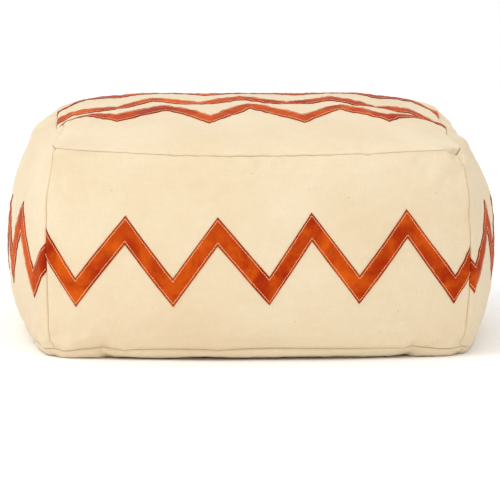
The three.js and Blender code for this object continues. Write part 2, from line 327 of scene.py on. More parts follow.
def sewn(sides):
    """All sides as one closed mesh: its points, its faces, and each side's lattice of point numbers."""
    found, points, faces, numbers = {}, [], [], {}
    for name, lattice in sides.items():
        rows, columns = lattice.shape[:2]
        own = np.zeros((rows, columns), int)
        for j in range(rows):
            for i in range(columns):
                key = box_corner(name, i, j)
                if key not in found:
                    found[key] = len(points)
                    points.append(lattice[j, i])
                own[j, i] = found[key]
        numbers[name] = own
        quads = np.stack([own[:-1, :-1], own[:-1, 1:], own[1:, 1:], own[1:, :-1]], -1).reshape(-1, 4)
        faces.append(quads[:, ::-1] if name == "bottom" else quads)
    return np.array(points), np.concatenate(faces), numbers


def point_normals(points, faces):
    across = np.cross(points[faces[:, 2]] - points[faces[:, 0]], points[faces[:, 3]] - points[faces[:, 1]])
    total = np.zeros_like(points)
    for k in range(4):
        np.add.at(total, faces[:, k], across)
    return unit(total)


# Where the bulk of the seam allowances pulls each corner in: across, back and up, in millimetres.
TUCKS = {
    (1, -1, 1): (-8, 19, -11),
    (-1, -1, 1): (2, 4, -1),
    (1, 1, 1): (-12, -12, -6),
    (-1, 1, 1): (14, -11, -6),
    (1, -1, 0): (-5, 5, 2),
    (-1, -1, 0): (5, 5, 2),
    (1, 1, 0): (-5, -5, 2),
    (-1, 1, 0): (5, -5, 2),
}
TUCK_REACH = 14.0
CORNER_REACH = 70.0  # the canvas has more slack this near to a corner
SEAM_PULL = 60.0  # and this near to a seam
SLACK = 0.012  # extra length of the canvas, all over
SEAM_SLACK = 0.5  # and this much more of it near the seams, as a share
CORNER_SLACK = 1.6  # and near a corner, as a share
HOLD = 0.12  # how firmly the panels keep to the stuffed shape, from 0 to 1
SEAM_HOLD = 0.25  # and the seams
FRAMES = 24


def settled(sides):
    """The cover after a cloth simulation: the stuffing presses it out, and its slack puckers at the seams."""
    points, faces, numbers = sewn(sides)
    hold = np.full(len(points), HOLD)
    slack = np.zeros(len(points))
    for name, own in numbers.items():
        j, i = np.mgrid[0 : own.shape[0], 0 : own.shape[1]]
        from_seam = np.minimum(np.minimum(i, i.max() - i), np.minimum(j, j.max() - j)) * PANEL / COLUMNS
        slack[own] = np.maximum(slack[own], 0.2 + SEAM_SLACK * np.clip(1 - from_seam / SEAM_PULL, 0, 1))
        if name == "bottom":
            hold[own] = np.where(from_seam > SEAM_PULL, 1.0, HOLD)
        for edge in (own[0], own[-1], own[:, 0], own[:, -1]):
            hold[edge] = SEAM_HOLD
    corners = []
    for (x, y, z), pull in TUCKS.items():
        at = numbers["top" if z else "bottom"][-1 if y > 0 else 0, -1 if x > 0 else 0]
        away = np.linalg.norm(points - points[at], axis=1)
        corners.append((at, np.exp(-((away / TUCK_REACH) ** 2))[:, None] * np.array(pull)))
        slack[away < CORNER_REACH] = CORNER_SLACK
    for at, shift in corners:
        points = points + shift
        hold[at] = 1.0

    scene = bpy.context.scene
    mesh = bpy.data.meshes.new("cover_cloth")
    mesh.from_pydata((points * MM).tolist(), [], faces.tolist())
    cloth = link(bpy.data.objects.new("cover_cloth", mesh))
    for name, weights in (("hold", hold), ("firm", 1 - slack / 2)):
        group = cloth.vertex_groups.new(name=name)
        weights = np.round(weights, 2)
        for weight in np.unique(weights):
            group.add(np.flatnonzero(weights == weight).tolist(), float(weight), "REPLACE")
    modifier = cloth.modifiers.new("cloth", "CLOTH")
    settings = modifier.settings
    settings.quality = 6
    settings.mass = 0.02
    settings.air_damping = 4
    settings.tension_stiffness = 60
    settings.compression_stiffness = 60
    settings.shear_stiffness = 10
    settings.bending_stiffness = 0.5
    settings.tension_damping = 20
    settings.compression_damping = 20
    settings.shear_damping = 20
    settings.bending_damping = 2
    settings.use_pressure = True
    settings.uniform_pressure_force = 1.0
    settings.vertex_group_mass = "hold"
    settings.pin_stiffness = 1.0
    settings.vertex_group_shrink = "firm"
    settings.shrink_min = -2 * SLACK
    settings.shrink_max = 0.0
    settings.effector_weights.gravity = 0
    modifier.collision_settings.use_collision = False
    modifier.collision_settings.use_self_collision = False
    modifier.point_cache.frame_start = 1
    modifier.point_cache.frame_end = FRAMES
    for f in range(1, FRAMES + 1):
        scene.frame_set(f)
    result = cloth.evaluated_get(bpy.context.evaluated_depsgraph_get())
    places = np.zeros(len(points) * 3, np.float32)
    result.to_mesh().vertices.foreach_get("co", places)
    bpy.data.objects.remove(cloth)
    scene.frame_set(1)
    places = places.reshape(-1, 3).astype(float) / MM
    places[:, 2] = np.maximum(places[:, 2], 0)
    return {name: places[own] for name, own in numbers.items()}


# ---- Placing things on the cover ----


def cubic(lattice, i, j):
    """The smooth surface through a lattice, at fractional columns i and rows j."""
    padded = np.pad(lattice, ((1, 1), (1, 1), (0, 0)), mode="reflect", reflect_type="odd")

    def taps(t, count):
        base = np.clip(np.floor(t).astype(int), 0, count - 2)
        f = (t - base)[..., None]
        return base, [
            0.5 * (-f + 2 * f**2 - f**3),
            0.5 * (2 - 5 * f**2 + 3 * f**3),
            0.5 * (f + 4 * f**2 - 3 * f**3),
            0.5 * (-(f**2) + f**3),
        ]

    column, across = taps(i, lattice.shape[1])
    row, up = taps(j, lattice.shape[0])
    return sum(up[b] * sum(across[a] * padded[row + b, column + a] for a in range(4)) for b in range(4))


class Side:
    """One side of the cover, with its edges turned in at its seams."""

    def __init__(self, name, lattice, normals):
        self.lattice, self.normals = lattice, normals
        self.rows, self.columns = (n - 1 for n in lattice.shape[:2])
        self.half = np.array([PANEL, WALL if name in WALLS else PANEL]) / 2
        self.outward = -1 if name == "bottom" else 1

    def flat(self, x, y, field="lattice"):
        i = (x / self.half[0] + 1) * self.columns / 2
        j = (y / self.half[1] + 1) * self.rows / 2
        return cubic(getattr(self, field), i, j)

    def turn(self, x, y, axis, past):
        """What the seam beyond the point (x, y) adds to its place, past being how far over the edge it is."""
        edge = [x, y]
        edge[axis] = np.sign(edge[axis]) * self.half[axis]
        start = self.flat(x, y)
        seam = self.flat(*edge)
        inward = -unit(self.flat(*edge, "normals"))
        side = unit((start - seam) - inward * dot(start - seam, inward))
        bend = seam + side * SEAM_HALF_GAP
        whole = SEAM_ROUND + SEAM_TURN
        t = np.clip(past / whole, 0, 1)[..., None]
        curve = (1 - t) ** 2 * start + 2 * t * (1 - t) * bend + t**2 * (bend + inward * SEAM_TURN)
        return curve - start + inward * np.maximum(past - whole, 0)[..., None]

    def skin(self, x, y):
        """The place on the outside of the canvas at pattern coordinates, which may run over the seams."""
        x, y = np.broadcast_arrays(np.asarray(x, float), np.asarray(y, float))
        reach = self.half - SEAM_ROUND
        inner = [np.clip(x, -reach[0], reach[0]), np.clip(y, -reach[1], reach[1])]
        place = self.flat(*inner)
        for axis, value in enumerate((x, y)):
            past = np.abs(value) - reach[axis]
            over = past > 0
            if over.any():
                place[over] += self.turn(inner[0][over], inner[1][over], axis, past[over])
        return place

    def normal(self, x, y, step=0.7):
        along = self.skin(x + step, y) - self.skin(x - step, y)
        up = self.skin(x, y + step) - self.skin(x, y - step)
        return unit(np.cross(along, up)) * self.outward


class Underside(Side):
    """The underside, whose two panels turn up where they meet, at the zip."""

    def open(self, x):
        """The share of the zip's gap that is open at x."""
        return self.within(x, OPENING_END)

    def within(self, x, fade):
        """1 along the zip's opening, falling to 0 in this distance past its ends."""
        return 1 - smooth((np.abs(x) - ZIP_OPENING / 2) / fade)

    def edge(self, x):
        """How far a bottom panel's edge is from the middle."""
        return mix(SEAM_HALF_GAP, ZIP_GAP, self.open(x))

    def skin(self, x, y):
        x, y = np.broadcast_arrays(np.asarray(x, float), np.asarray(y, float))
        place = super().skin(x, y)
        gap = self.edge(x)
        rise = mix(SEAM_VALLEY, ZIP_RISE, self.within(x, RISE_END)) * smooth((HALF - np.abs(x)) / RISE_END)
        place[..., 2] += rise * smooth(1 - (np.abs(y) - gap) / TURN_UP)
        return place


# ---- Meshes ----


def mesh_piece(name, points, faces, body, uv=None, values=None):
    """A piece from points in millimetres. uv holds metres, and values a number for each point, named."""
    mesh = bpy.data.meshes.new(name)
    points = np.asarray(points, float).reshape(-1, 3)
    mesh.from_pydata((points * MM).tolist(), [], [list(map(int, f)) for f in faces])
    if uv is not None:
        loops = np.zeros(len(mesh.loops), np.int32)
        mesh.loops.foreach_get("vertex_index", loops)
        layer_data = mesh.uv_layers.new(name="pattern").data
        layer_data.foreach_set("uv", np.asarray(uv).reshape(-1, 2)[loops].ravel())
    for key, value in (values or {}).items():
        attribute = mesh.attributes.new(key, "FLOAT", "POINT")
        attribute.data.foreach_set("value", np.asarray(value, np.float32).ravel())
    mesh.polygons.foreach_set("use_smooth", [True] * len(mesh.polygons))
    mesh.update()
    piece = link(bpy.data.objects.new(name, mesh))
    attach(piece, body)
    return piece


def plate_faces(columns, rows, flip=False):
    """Faces of a closed plate: an outer and an inner sheet of columns x rows points, and the rim between."""
    grid = np.arange(columns * rows).reshape(rows, columns)
    quads = np.stack([grid[:-1, :-1], grid[:-1, 1:], grid[1:, 1:], grid[1:, :-1]], -1).reshape(-1, 4)
    rim = np.concatenate([grid[0, :-1], grid[:-1, -1], grid[-1, :0:-1], grid[:0:-1, 0]])
    after = np.roll(rim, -1)
    back = columns * rows
    walls = np.stack([rim, rim + back, after + back, after], -1)
    faces = np.concatenate([quads, quads[:, ::-1] + back, walls])
    return faces[:, ::-1] if flip else faces


def plate(name, side, x, y, top, under, body, values=None):
    """A closed plate on a side: x and y are its grid's pattern coordinates, top and under its heights."""
    place, normal = side.skin(x, y), side.normal(x, y)
    points = np.concatenate([
        (place + normal * np.asarray(top)[..., None]).reshape(-1, 3),
        (place + normal * np.asarray(under)[..., None]).reshape(-1, 3),
    ])
    uv = np.stack([x, y], -1).reshape(-1, 2) * MM
    values = {k: np.concatenate([np.ravel(v), np.ravel(v)]) for k, v in (values or {}).items()}
    rows, columns = x.shape
    faces = plate_faces(columns, rows, flip=side.outward < 0)
    return mesh_piece(name, points, faces, body, np.concatenate([uv, uv]), values)


def tube_faces(rings, sides):
    """Faces of a tube, closed at both ends."""
    grid = np.arange(rings * sides).reshape(rings, sides)
    after = np.roll(grid, -1, axis=1)
    quads = np.stack([grid[:-1], after[:-1], after[1:], grid[1:]], -1).reshape(-1, 4).tolist()
    return [*quads, grid[0, ::-1].tolist(), grid[-1].tolist()]


# ---- Canvas ----

# Distances of a panel's outer lines from its seam, inwards, and of a bottom panel's inner ones from the zip.
FINE = [-ALLOWANCE, -7, -3, -1.8, -0.9, 0, 0.7, 1.4, 2.2, SEAM_ROUND, 4, 6, 9, 13]
NEAR_ZIP = [60, 40, 30, 24, 19, 15, 11.5, 9, 7.5, 7]
SHAPED = 30.0  # nearer the zip than this, the lines follow the gap's edge
CELL = 5.0  # of a panel's middle


def stations(half):
    """Pattern coordinates across a panel, close together at its seams."""
    middle = half - FINE[-1]
    inner = np.linspace(-middle, middle, int(round(2 * middle / CELL)) + 1)
    edge = half - np.array(FINE[:-1])
    return np.concatenate([-edge, inner, edge[::-1]])


def make_panel(side, name, node):
    """A wall's panel, or the top's."""
    x, y = np.meshgrid(stations(side.half[0]), stations(side.half[1]))
    panel = plate(name, side, x, y, 0 * x, 0 * x - CANVAS, "cover")
    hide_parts(node)
    return panel


HEM_TURN = [math.pi * k / 6 for k in range(1, 7)]  # angles round the fold of the hem at the zip
HEM_BACK = [2, 4, 7, 10, 14]  # and distances back from it
HEM_RADIUS = CANVAS + 0.05


def hem_of(side, x, y, edge, out, sign):
    """Points, normals and pattern coordinates of the cloth that folds back under itself at the zip."""
    across = np.array([0.0, -sign, 0.0])
    to_gap = unit(across - out * dot(across, out))
    centre = edge - out * HEM_RADIUS
    folds = []
    for angle in HEM_TURN:
        way = out * math.cos(angle) + to_gap * math.sin(angle)
        folds.append((centre + HEM_RADIUS * way, way))
    for back in HEM_BACK:
        y_back = sign * (np.abs(y) + back)
        away = side.normal(x, y_back)
        folds.append((side.skin(x, y_back) - away * 2 * HEM_RADIUS, -away))
    run = np.concatenate([HEM_RADIUS * np.array(HEM_TURN), HEM_RADIUS * math.pi + np.array(HEM_BACK)])
    uv = np.stack([x + 0 * run[:, None], y - sign * run[:, None]], -1) * MM
    return np.array([f[0] for f in folds]), np.array([f[1] for f in folds]), uv


def make_bottom_panel(side, name, node, sign):
    """The front half of the underside, or with sign 1 the back half."""
    outer = side.half[1] - np.array(FINE)
    inner = np.array(NEAR_ZIP)
    middle = np.linspace(outer[-1], inner[0], 46)[1:-1]
    x, y = np.meshgrid(stations(side.half[0]), np.concatenate([outer, middle, inner]))
    gap = side.edge(x) + 0.2
    y = np.where(y < SHAPED, gap + (y - inner[-1]) * (SHAPED - gap) / (SHAPED - inner[-1]), y)
    y, x = sign * y[:: -sign], x[:: -sign]
    place, normal = side.skin(x, y), side.normal(x, y)
    uv = np.stack([x, y], -1) * MM
    zip_row = 0 if sign > 0 else -1
    hem = hem_of(side, x[zip_row], y[zip_row], place[zip_row], normal[zip_row], sign)
    place, normal, uv = (
        np.concatenate([folded[::-1], main] if sign > 0 else [main, folded])
        for main, folded in zip((place, normal, uv), hem)
    )
    rows, columns = place.shape[:2]
    points = np.concatenate([place.reshape(-1, 3), (place - normal * CANVAS).reshape(-1, 3)])
    faces = plate_faces(columns, rows, flip=True)
    uv = uv.reshape(-1, 2)
    panel = mesh_piece(name, points, faces, "cover", np.concatenate([uv, uv]))
    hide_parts(node)
    return panel


# ---- Leather and its stitching ----

# The bends of hand-cut bands, as pattern coordinates of the band's middle.
FRONT_BENDS = [
    (-320, 41), (-256, -60), (-184.5, 35), (-118, -57), (-56, 34.5), (15, -54), (74, 41),
    (140, -54), (208.5, 42), (276.5, -59), (331, 31),
]
RIGHT_BENDS = [(-350, 20), (-293, -46), (-217, 28), (-150, -56)]
LEFT_BENDS = [(135, -62), (199.5, 17), (264, -55), (328, 20)]
TOP_FRONT_BENDS = [
    (-275, -98), (-210, -166), (-136, -107), (-71, -181), (-9, -98), (70, -181), (124, -107),
    (200, -168), (256, -106), (322, -170),
]
TOP_MIDDLE_BENDS = [
    (-274, 34), (-200, -30), (-147, 38), (-79, -32), (-18, 40), (49, -34), (117, 38), (183, -26),
    (246, 36), (310, -34),
]

# Half of a band's section: how far in from its edge, and how high above the canvas.
EDGE_SECTION = [(0, 0), (0, 0.7), (0.3, 1.05), (0.9, 1.25), (2.0, 1.25)]
GROOVE_SECTION = [(2.7, 0.95), (STITCH_INSET, GROOVE), (3.7, 0.95)]
SECTION = [*EDGE_SECTION, *GROOVE_SECTION, (4.6, 1.3), (7, 1.45), (10.5, 1.5)]
BENDS = 14  # enough to cross a panel
SLIP = 1.4  # how far a drawn bend may be off its even place
WAVER = 0.35  # and how far a cut edge is off its line
BEND_CUT = 0.6  # the lines across a band are this near to its bends, to keep them sharp


def zigzag(x, bends):
    """The height of a band's middle, along a line through its bends."""
    return np.interp(x, [b[0] for b in bends], [b[1] for b in bends])


def bends_of(given, low_x, height, rise, seed):
    """A band's bends from end to end: the given ones, then even ones low at low_x, a little off by hand."""
    own = np.random.default_rng(seed)
    bends = list(given)
    left, right = (min(given)[0], max(given)[0]) if given else (0, 0)
    first = math.floor((-PANEL / 2 - LEG - low_x) / LEG)
    for k in range(first, first + BENDS):
        x = low_x + k * LEG
        y = height + (-rise / 2 if k % 2 == 0 else rise / 2)
        shake = own.normal(size=2) * SLIP
        if not given or x < left - LEG / 2 or x > right + LEG / 2:
            bends.append((x + shake[0], y + shake[1]))
    return sorted(bends)


def waver(x, seed):
    """How far a hand-cut band wanders up and down along its length."""
    marks = np.arange(-400, 400, 23)
    return WAVER * np.interp(x, marks, np.random.default_rng(seed).normal(size=len(marks)))


def lines_across(half, bends):
    """Where a band's lines of points are along it: evenly, and closer at its bends and at the seams."""
    reach = half + SEAM_TURN + 4
    even_x = np.arange(-reach, reach, 3.0)
    corners = np.array([b[0] for b in bends if abs(b[0]) < reach])
    keep = np.min(np.abs(even_x[:, None] - corners[None, :]), axis=1) > 2 * BEND_CUT
    near = np.concatenate([corners - BEND_CUT, corners, corners + BEND_CUT, [reach]])
    seam = np.concatenate([sign * (half - np.arange(3.0, -4.0, -1.0)) for sign in (-1, 1)])
    x = np.unique(np.round(np.concatenate([even_x[keep], near, seam]), 3))
    return x[np.abs(x) <= reach]


def make_band(side, name, node, bends):
    """A leather band: a plate with rounded edges and a groove along each for the topstitching."""
    width = BAND / SLANT
    section = SECTION + [(width - inset, height) for inset, height in SECTION[::-1]]
    insets, heights = np.array(section).T
    x, across = np.meshgrid(lines_across(side.half[0], bends), insets)
    y = zigzag(x, bends) - BAND / 2 + across * SLANT + waver(x, len(name))
    past = np.abs(x) - (side.half[0] - SEAM_ROUND)
    top = heights[:, None] * (1 - 0.85 * smooth(past / 3.5))
    values = {"edge": np.minimum(across, width - across)}
    band = plate(name, side, x, y, top, 0 * x - 0.25, "cover", values)
    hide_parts(node)
    return band


STITCH_SHARE = np.array([0.0, 0.12, 0.5, 0.88, 1.0])  # places along a stitch
STITCH_LIFT = np.array([-0.3, 0.15, 0.36, 0.15, -0.3])  # how high it is there
STITCH_GIRTH = np.array([0.6, 0.95, 1.0, 0.95, 0.6])  # and how thick, as a share
STITCH_SIDES = 6


def make_stitches(side, name, lines):
    """Stitches along lines of pattern points: each dips into the leather at its ends."""
    starts, ends = [], []
    for a, b in lines:
        a, b = np.array(a, float), np.array(b, float)
        count = max(1, int(round(np.linalg.norm(b - a) / STITCH)))
        marks = a + (b - a) * np.linspace(0, 1, count + 1)[:, None]
        step = marks[1] - marks[0]
        starts.append(marks[:-1] + step * 0.05)
        ends.append(marks[1:] - step * 0.05)
    starts, ends = np.concatenate(starts), np.concatenate(ends)
    count = len(starts)
    shift = rng.normal(size=(count, 2)) * 0.12
    starts, ends = starts + shift, ends + shift + rng.normal(size=(count, 2)) * 0.1
    at = starts[:, None] + (ends - starts)[:, None] * STITCH_SHARE[None, :, None]
    x, y = at[..., 0], at[..., 1]
    normal = side.normal(x, y)
    centre = side.skin(x, y) + normal * (GROOVE + STITCH_LIFT)[None, :, None]
    run = unit(centre[:, -1] - centre[:, 0])[:, None, :] + 0 * centre
    beside = unit(np.cross(run, normal))
    angles = np.linspace(0, 2 * math.pi, STITCH_SIDES, endpoint=False)[None, None, :, None]
    ring = beside[:, :, None] * np.cos(angles) + normal[:, :, None] * np.sin(angles)
    size = THREAD * STITCH_GIRTH[None, :, None, None] * rng.uniform(0.9, 1.1, (count, 1, 1, 1))
    points = centre[:, :, None] + ring * size
    rings = len(STITCH_SHARE)
    one = tube_faces(rings, STITCH_SIDES)
    faces = [[v + k * rings * STITCH_SIDES for v in f] for k in range(count) for f in one]
    return mesh_piece(name, points.reshape(-1, 3), faces, "cover")


def band_lines(side, bends):
    """The topstitching along both edges of a band, one line for each leg."""
    reach = side.half[0] - 0.5
    xs = [-reach] + [b[0] for b in bends if abs(b[0]) < reach] + [reach]
    lines = []
    for off in (-1, 1):
        shift = off * (BAND / 2 - STITCH_INSET * SLANT)
        for a, b in zip(xs, xs[1:]):
            lines.append(((a, zigzag(a, bends) + shift), (b, zigzag(b, bends) + shift)))
    return lines


# ---- Inner bag and stuffing ----

LINER = (5.0, 14.0)  # how far the inner bag is inside the cover's outside, and inside its seams and underside
PACKING = (8.5, 18.0)  # and the stuffing
MUSLIN = 1.0  # thickness of the bag
MOUTH = (240.0, 14.0)  # length and width of the slit that it is filled through
SEAM_REACH = 16.0  # the layers keep clear of the seam allowances this far from a seam
LUMP, TUFT, DIMPLE = 45.0, 18.0, 30.0  # wavelengths of the stuffing's unevenness


def layer(depths, lumps=0.0):
    """The cover's points moved in, further at the seams and on the underside."""
    near = np.zeros(len(cover_points))
    for own in numbers.values():
        rows, columns = own.shape
        j, i = np.mgrid[0:rows, 0:columns]
        from_seam = np.minimum(np.minimum(i, columns - 1 - i), np.minimum(j, rows - 1 - j)) * PANEL / COLUMNS
        near[own] = np.exp(-((from_seam / SEAM_REACH) ** 2))
    near[np.unique(numbers["bottom"])] = 1.0
    uneven = lumps * waves(cover_points, LUMP, seed=5)
    depth = mix(depths[0], depths[1], near) + uneven + lumps * waves(cover_points, TUFT, seed=6) / 2
    smoothed = cover_points.copy()
    for _ in range(2):
        total, count = np.zeros_like(smoothed), np.zeros(len(smoothed))
        for k in range(4):
            before, after = cover_faces[:, k - 1], cover_faces[:, (k + 1) % 4]
            np.add.at(total, cover_faces[:, k], smoothed[before] + smoothed[after])
            np.add.at(count, cover_faces[:, k], 2)
        smoothed = mix(smoothed, total / count[:, None], 0.5)
    inside = smoothed - point_normals(smoothed, cover_faces) * depth[:, None]
    floor = depths[1] + (lumps * 0.8 * (1 + waves(cover_points, DIMPLE, seed=8)) if lumps else 0)
    inside[:, 2] = np.maximum(inside[:, 2], floor)
    return inside


def make_stuffing():
    points = layer(PACKING, 0.8)
    piece = mesh_piece("cotton_stuffing", points, cover_faces, "cover")
    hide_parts("stuffing")
    return piece


def make_inner_bag():
    """The muslin bag, whose mouth under the pouf is left as a slit between two edges."""
    outer = layer(LINER)
    own = numbers["bottom"]
    middle = COLUMNS // 2
    half = int(round(MOUTH[0] / 2 / (PANEL / COLUMNS)))
    lips = own[middle - 1 : middle + 2 : 2, middle - half + 1 : middle + half]
    outer[lips[0], 1], outer[lips[1], 1] = -MOUTH[1] / 2, MOUTH[1] / 2
    gone = {
        tuple(sorted(own[j : j + 2, i : i + 2].ravel()))
        for j in (middle - 1, middle)
        for i in range(middle - half, middle + half)
    }
    faces = np.array([f for f in cover_faces if tuple(sorted(f)) not in gone])
    normals = point_normals(outer, cover_faces)
    inner = outer - normals * MUSLIN
    used = np.unique(faces)
    new = np.full(len(outer), -1)
    new[used] = np.arange(len(used))
    faces = new[faces]
    edges = dict.fromkeys((a, b) for f in faces for a, b in zip(f, np.roll(f, -1)))
    open_edges = [(a, b) for a, b in edges if (b, a) not in edges]
    n = len(used)
    rims = [(b, a, a + n, b + n) for a, b in open_edges]
    points = np.concatenate([outer[used], inner[used]])
    faces = [*faces, *(faces[:, ::-1] + n), *rims]
    piece = mesh_piece("inner_bag", points, faces, "cover", box_uv(points))
    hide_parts("liner_bag")
    return piece


def box_uv(points):
    """Pattern coordinates in metres for a layer without a pattern: each point's place on a box."""
    normals = unit(points - points.mean(0))
    x, y, z = points.T
    side_on = np.abs(normals[:, 0]) > np.abs(normals[:, 1])
    flat = np.abs(z - WALL / 2) > 120
    u = np.where(flat, x, np.where(side_on, y, x))
    v = np.where(flat, y, z)
    return np.stack([u, v], -1) * MM


def tube(path, radius, sides=6):
    """Points and faces of a round tube along a path, an (n, 3) array."""
    run = unit(np.gradient(path, axis=0))
    start = np.cross(run[0], [0.3, 0.5, 0.8])
    beside = [unit(start)]
    for direction in run[1:]:
        beside.append(unit(beside[-1] - direction * (beside[-1] @ direction)))
    beside = np.array(beside)
    other = np.cross(run, beside)
    angles = np.linspace(0, 2 * math.pi, sides, endpoint=False)
    ring = beside[:, None] * np.cos(angles)[:, None] + other[:, None] * np.sin(angles)[:, None]
    radius = np.broadcast_to(np.asarray(radius, float).reshape(-1, 1, 1), (len(path), 1, 1))
    return (path[:, None] + ring * radius).reshape(-1, 3), tube_faces(len(path), sides)


def tubes(name, parts, body):
    """One piece of several tubes, each a path and a radius."""
    points, faces, count = [], [], 0
    for path, radius, sides in parts:
        own, own_faces = tube(np.asarray(path, float), radius, sides)
        points.append(own)
        faces += [[v + count for v in f] for f in own_faces]
        count += len(own)
    return mesh_piece(name, np.concatenate(points), faces, body)


LACING_REACH = 10.5  # of the lacing, to each side of the mouth


def make_lacing():
    """Cotton thread that laces the inner bag's mouth shut, over and under its lips."""
    x = np.linspace(-MOUTH[0] / 2 + 4, MOUTH[0] / 2 - 4, 33)
    path = np.array([(a, LACING_REACH * (1 if k % 2 else -1), LINER[1]) for k, a in enumerate(x)])
    fine = np.array([mix(a, b, t) for a, b in zip(path, path[1:]) for t in np.linspace(0, 1, 7)[:-1]])
    lift = np.abs(fine[:, 1]) / LACING_REACH
    fine[:, 2] = LINER[1] - 0.75 + 1.9 * smooth((lift - 0.86) / 0.14)
    return tubes("mouth_lacing", [(fine, 0.6, 6)], "cover")


# ---- Zip ----

HALF_ZIP = 200.0  # half the length of the chain
TAPE = (0.8, 16.0, 7.85, 0.6)  # inner and outer edge, underside and thickness
TAPE_END = 224.0  # half the length of a tape
COIL = (0.45, 3.4, 5.25, 7.5)  # inner and outer edge, lowest and highest
COIL_PITCH = 1.3
COIL_STAGGER = 0.32  # each coil's turns are this far along from the middle of the other's
NYLON = 0.34  # radius of the filament
CORD_Y = 2.2  # from the zip's middle to the cord in each coil
COIL_THREAD = 0.16  # radius of the thread that holds a coil down
HEM_ROWS = (2.0, 7.5)  # of stitches, from the edge of the zip's gap


def make_tape(name, node, sign):
    """A woven tape with two ribs along it."""
    x = np.linspace(-TAPE_END, TAPE_END, 150)
    y = np.concatenate([[TAPE[0], TAPE[0] + 0.4], np.linspace(2, 15, 8), [15.6, TAPE[1]]]) * sign
    x, y = np.meshgrid(x, y[::sign])
    rib = 0.18 * np.exp(-(((np.abs(y) - 14.6) / 0.5) ** 2)) + 0.12 * np.exp(-(((np.abs(y) - 4.6) / 0.4) ** 2))
    under = np.stack([x, y, TAPE[2] - rib + 0.05 * np.sin(x / 9)], -1)
    over = np.stack([x, y, TAPE[2] + TAPE[3] + rib / 2 + 0.05 * np.sin(x / 9)], -1)
    uv = np.stack([x + y, x - y], -1).reshape(-1, 2) * MM * 0.7
    faces = plate_faces(x.shape[1], x.shape[0], flip=True)
    points = np.concatenate([under.reshape(-1, 3), over.reshape(-1, 3)])
    piece = mesh_piece(name, points, faces, "cover", np.concatenate([uv, uv]))
    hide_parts(node)
    return piece


def make_coil(name, node, sign):
    """A spiral of nylon, flattened into the shape of a row of teeth, round a cord."""
    turns = int(2 * (HALF_ZIP - 1) / COIL_PITCH)
    t = np.arange(turns * 14 + 1) / 14
    angle = 2 * math.pi * t
    wide, high = (COIL[1] - COIL[0]) / 2 - NYLON, (COIL[3] - COIL[2]) / 2 - NYLON
    across = np.sign(np.cos(angle)) * np.abs(np.cos(angle)) ** 0.7
    x = -HALF_ZIP + 1 + COIL_PITCH * t + sign * COIL_STAGGER
    y = sign * ((COIL[0] + COIL[1]) / 2 - wide * across)
    z = (COIL[2] + COIL[3]) / 2 + high * np.sin(angle)
    radius = NYLON * (1 + 0.25 * smooth((across - 0.75) * 4))
    cord_x = np.linspace(-HALF_ZIP, HALF_ZIP, 60)
    cord = np.stack([cord_x, 0 * cord_x + sign * CORD_Y, 0 * cord_x + (COIL[2] + COIL[3]) / 2], -1)
    piece = tubes(name, [(np.stack([x, y, z], -1), radius, 5), (cord, 0.5, 6)], "cover")
    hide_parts(node)
    return piece


def make_seam_stitches(name, lines, radius=0.33, length=3.0):
    """Running stitches along straight lines: each line is a start, an end and the way they face."""
    parts = []
    for start, end, out in lines:
        start, end, out = (np.array(v, float) for v in (start, end, out))
        count = int(np.linalg.norm(end - start) / length)
        marks = start + (end - start) * np.linspace(0, 1, count + 1)[:, None]
        for a, b in zip(marks, marks[1:]):
            at = a + (b - a) * np.array([0.1, 0.2, 0.5, 0.8, 0.9])[:, None]
            at = at + out * np.array([-0.4, 0.12, 0.3, 0.12, -0.4])[:, None]
            parts.append((at, radius * np.array([0.6, 1, 1, 1, 0.6]), 6))
    return tubes(name, parts, "cover")


def hem_lines(under, sign):
    """The lines of stitching that hold a hem and a tape together."""
    lines = []
    for away in HEM_ROWS:
        x = np.linspace(-ZIP_OPENING / 2 + 4, ZIP_OPENING / 2 - 4, 12)
        y = sign * (ZIP_GAP + away) + 0 * x
        on, out = under.skin(x, y), under.normal(x, y)
        lines += [(a + o * 0.1, b + o * 0.1, o) for a, b, o in zip(on, on[1:], out)]
    return lines


def coil_lines(sign):
    """The line of stitching that holds a coil to its tape."""
    y, z = sign * CORD_Y, COIL[2] - 0.02
    return [((-HALF_ZIP + 1, y, z), (HALF_ZIP - 1, y, z), (0, 0, -1))]


def refined(name, node, body, width):
    """The CAD node's shape as a piece, with its edges rounded."""
    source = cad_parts[node]
    own = source.data.copy()
    made = bmesh.new()
    made.from_mesh(own)
    bmesh.ops.remove_doubles(made, verts=made.verts, dist=1e-6)
    bmesh.ops.dissolve_limit(made, angle_limit=0.02, verts=made.verts, edges=made.edges)
    sharp = [e for e in made.edges if len(e.link_faces) == 2 and e.calc_face_angle(0) > 0.5]
    bevel = {"segments": 3, "profile": 0.6, "affect": "EDGES", "clamp_overlap": True}
    bmesh.ops.bevel(made, geom=sharp, offset=width * MM, **bevel)
    made.to_mesh(own)
    made.free()
    own.materials.clear()
    own.polygons.foreach_set("use_smooth", [True] * len(own.polygons))
    own.set_sharp_from_angle(angle=0.9)
    piece = link(bpy.data.objects.new(name, own))
    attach(piece, body)
    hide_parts(node)
    return piece


# ---- Materials ----


